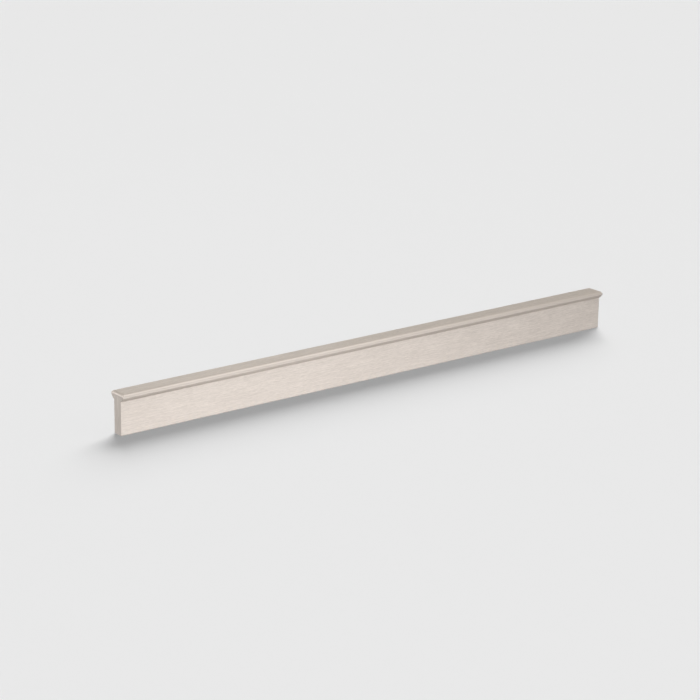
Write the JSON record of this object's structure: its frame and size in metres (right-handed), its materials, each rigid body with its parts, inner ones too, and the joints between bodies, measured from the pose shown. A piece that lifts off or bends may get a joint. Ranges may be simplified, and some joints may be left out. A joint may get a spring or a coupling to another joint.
{
  "type": "cabinet pull",
  "caption": "Long brushed nickel cabinet pull: an upright blade with a moulded cap along its outer edge, tapped for screws in the mounting edge.",
  "frame": {"origin": "centre of the mounting edge, the narrow face that sits against the cabinet", "axes": "+X along the length, +Y across the blade, +Z away from the cabinet towards the cap"},
  "size_m": [0.35, 0.012, 0.0239],
  "materials": {
    "brushed_nickel": "warm satin nickel, brushed along the length on the faces and top, across the ends"
  },
  "bodies": {
    "root": {"pull": "brushed_nickel"}
  },
  "joints": []
}
